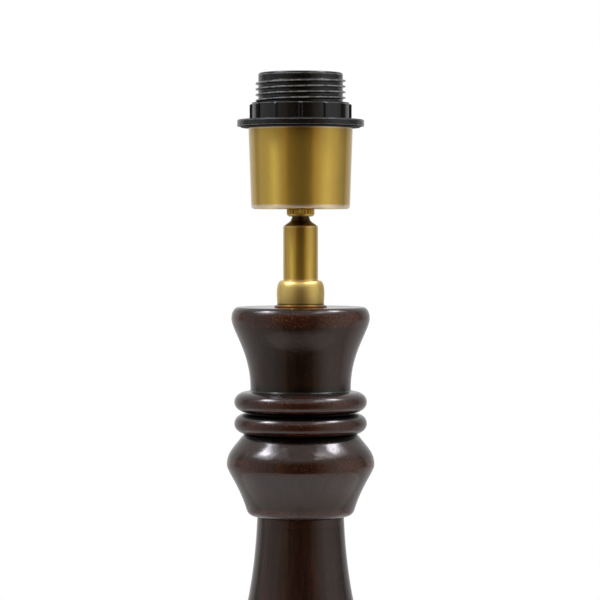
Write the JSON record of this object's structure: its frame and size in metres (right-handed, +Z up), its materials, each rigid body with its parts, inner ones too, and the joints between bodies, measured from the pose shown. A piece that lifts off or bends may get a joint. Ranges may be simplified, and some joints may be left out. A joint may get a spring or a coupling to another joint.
{
  "type": "table lamp base",
  "caption": "Turned dark timber table lamp base with a satin brass neck and cup, a black screw lampholder and a shade ring.",
  "frame": {"origin": "centre of the felt under the foot, on the surface that the lamp stands on", "axes": "+Z up along the lamp's axis, +Y out of the cord inlet at the back, +X to the right seen from the front"},
  "size_m": [0.15, 0.1497, 0.4305],
  "materials": {
    "dark_timber": "dark stain under gloss lacquer",
    "satin_brass": "satin, fine lathe brushing",
    "plain_brass": "bright pressed sheet",
    "black_plastic": "glossy moulded",
    "white_porcelain": "glazed",
    "zinc_steel": "zinc plated",
    "spring_steel": "bright drawn wire",
    "green_black_felt": "felt"
  },
  "bodies": {
    "base": {"felt_pad": "green_black_felt", "plinth": "dark_timber", "foot": "dark_timber", "foot_weight": "zinc_steel", "weight_screws": "zinc_steel", "cord_bush": "black_plastic", "lower_rings": "dark_timber", "column": "dark_timber", "capital": "dark_timber", "threaded_rod": "zinc_steel", "lower_nut": "zinc_steel", "lower_star_washer": "zinc_steel", "lower_washer": "zinc_steel", "upper_washer": "zinc_steel", "upper_star_washer": "zinc_steel", "upper_nut": "zinc_steel", "bell_cap": "satin_brass", "stem": "satin_brass", "knurled_nut": "satin_brass", "holder_cup": "satin_brass", "lower_housing": "black_plastic", "entry_bush": "plain_brass", "grub_screw": "zinc_steel", "socket_block": "white_porcelain", "side_contact": "plain_brass", "centre_strip": "plain_brass", "contact_rivets": "plain_brass", "terminals": "plain_brass", "terminal_screws": "zinc_steel", "contact_spring": "spring_steel", "screw_shell": "plain_brass", "threaded_skirt": "black_plastic"},
    "shade_ring": {"shade_ring": "black_plastic"},
    "centre_contact": {"centre_contact": "plain_brass"}
  },
  "joints": [
    {"name": "shade_ring_lift", "type": "slide", "parent": "base", "child": "shade_ring", "axis": [0, 0, 1], "range_m": [0, 0.0243]},
    {"name": "centre_contact_press", "type": "slide", "parent": "base", "child": "centre_contact", "axis": [0, 0, -1], "range_m": [0, 0.0015], "stiffness_N_per_m": 3000, "deforming": ["contact_spring"]}
  ]
}
